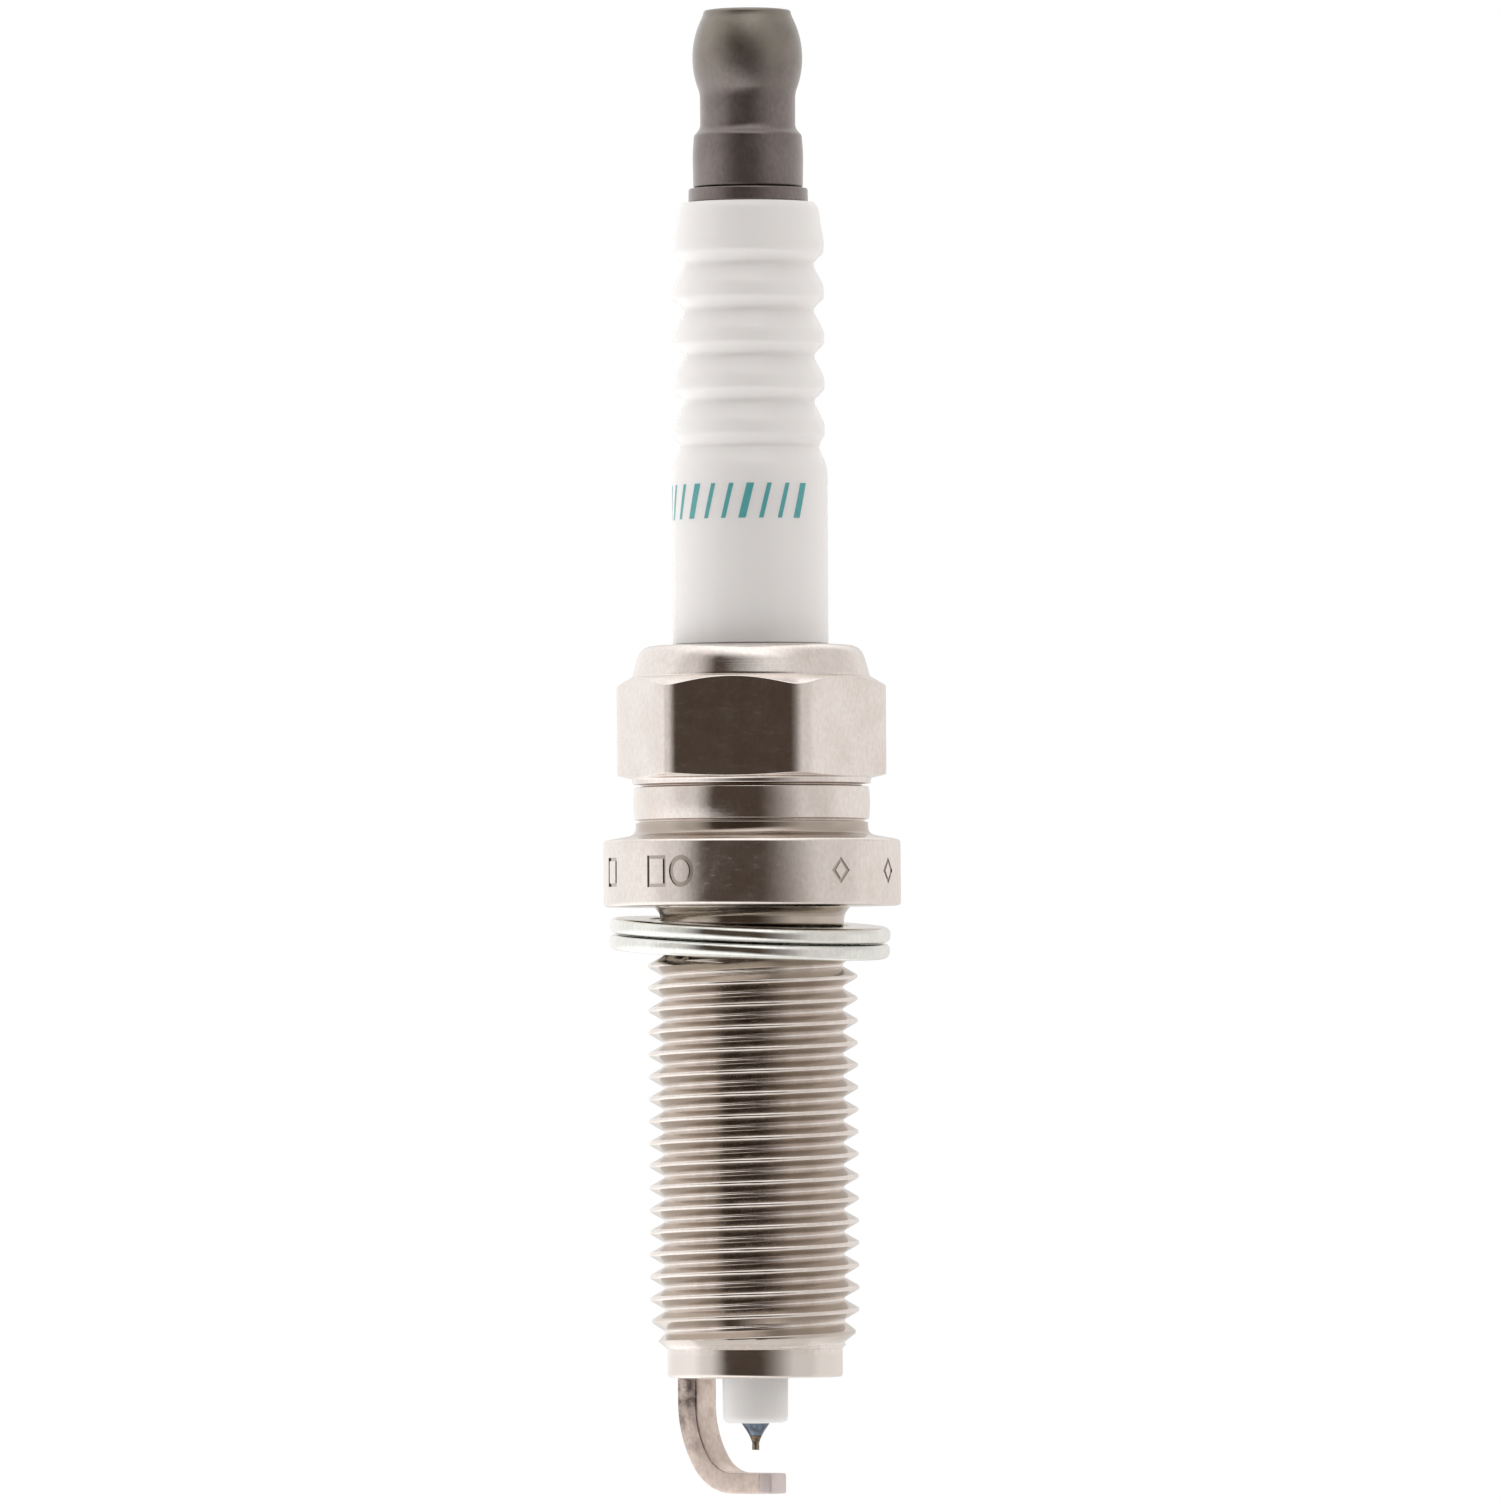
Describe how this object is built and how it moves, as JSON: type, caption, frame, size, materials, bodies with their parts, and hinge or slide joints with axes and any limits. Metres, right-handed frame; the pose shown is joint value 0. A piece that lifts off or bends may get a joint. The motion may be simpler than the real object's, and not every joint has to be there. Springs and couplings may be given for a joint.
{
  "type": "spark plug",
  "caption": "Spark plug with a ribbed ceramic insulator, removable terminal nut, hexagon shell, M12 long-reach thread, loose folded gasket and fine-wire tip over a bent ground electrode.",
  "frame": {"origin": "on the plug's axis, in the plane of the collar's underside, where the gasket seals (mount gasket_seat)", "axes": "+Z along the plug's axis towards the terminal, so the spark gap is at -Z; -Y is square to one flat of the hexagon"},
  "size_m": [0.0168, 0.0168, 0.0836],
  "materials": {
    "nickel_plate": "bright nickel plate over turned steel, faint turning lines, warm grey in the recesses",
    "gasket_zinc": "bright zinc plate, cool blue-green tint, rolled folds",
    "porcelain": "white alumina under a clear gloss glaze, bare and matt on the nose",
    "terminal_steel": "dull nickel on turned steel, warm grey",
    "glass_seal": "copper-filled sealing glass, dark and glossy",
    "resistor_mass": "fired carbon and glass mass, matt black",
    "nickel_alloy": "drawn nickel alloy, brown heat tint, sheared edges",
    "copper": "bare copper",
    "iridium": "drawn iridium wire, bright with a laser melt ring",
    "packing_steel": "bare soft steel wire",
    "talc": "pressed talc powder, matt"
  },
  "bodies": {
    "root": {"shell": "nickel_plate", "insulator": "porcelain", "terminal_stud": "terminal_steel", "upper_glass_seal": "glass_seal", "resistor": "resistor_mass", "lower_glass_seal": "glass_seal", "centre_electrode": "nickel_alloy", "electrode_core": "copper", "tip_weld": "nickel_alloy", "iridium_tip": "iridium", "ground_electrode": "nickel_alloy", "upper_packing_ring": "packing_steel", "talc_filling": "talc", "lower_packing_ring": "packing_steel", "seat_washer": "copper"},
    "terminal_nut": {"terminal_nut": "terminal_steel"},
    "gasket": {"gasket": "gasket_zinc"}
  },
  "joints": [
    {"name": "terminal_nut_unscrew", "type": "slide", "parent": "root", "child": "terminal_nut", "axis": [0, 0, 1], "range_m": [0, 0.012]},
    {"name": "gasket_play", "type": "slide", "parent": "root", "child": "gasket", "axis": [0, 0, 1], "range_m": [-0.0003, 0.0002]}
  ]
}
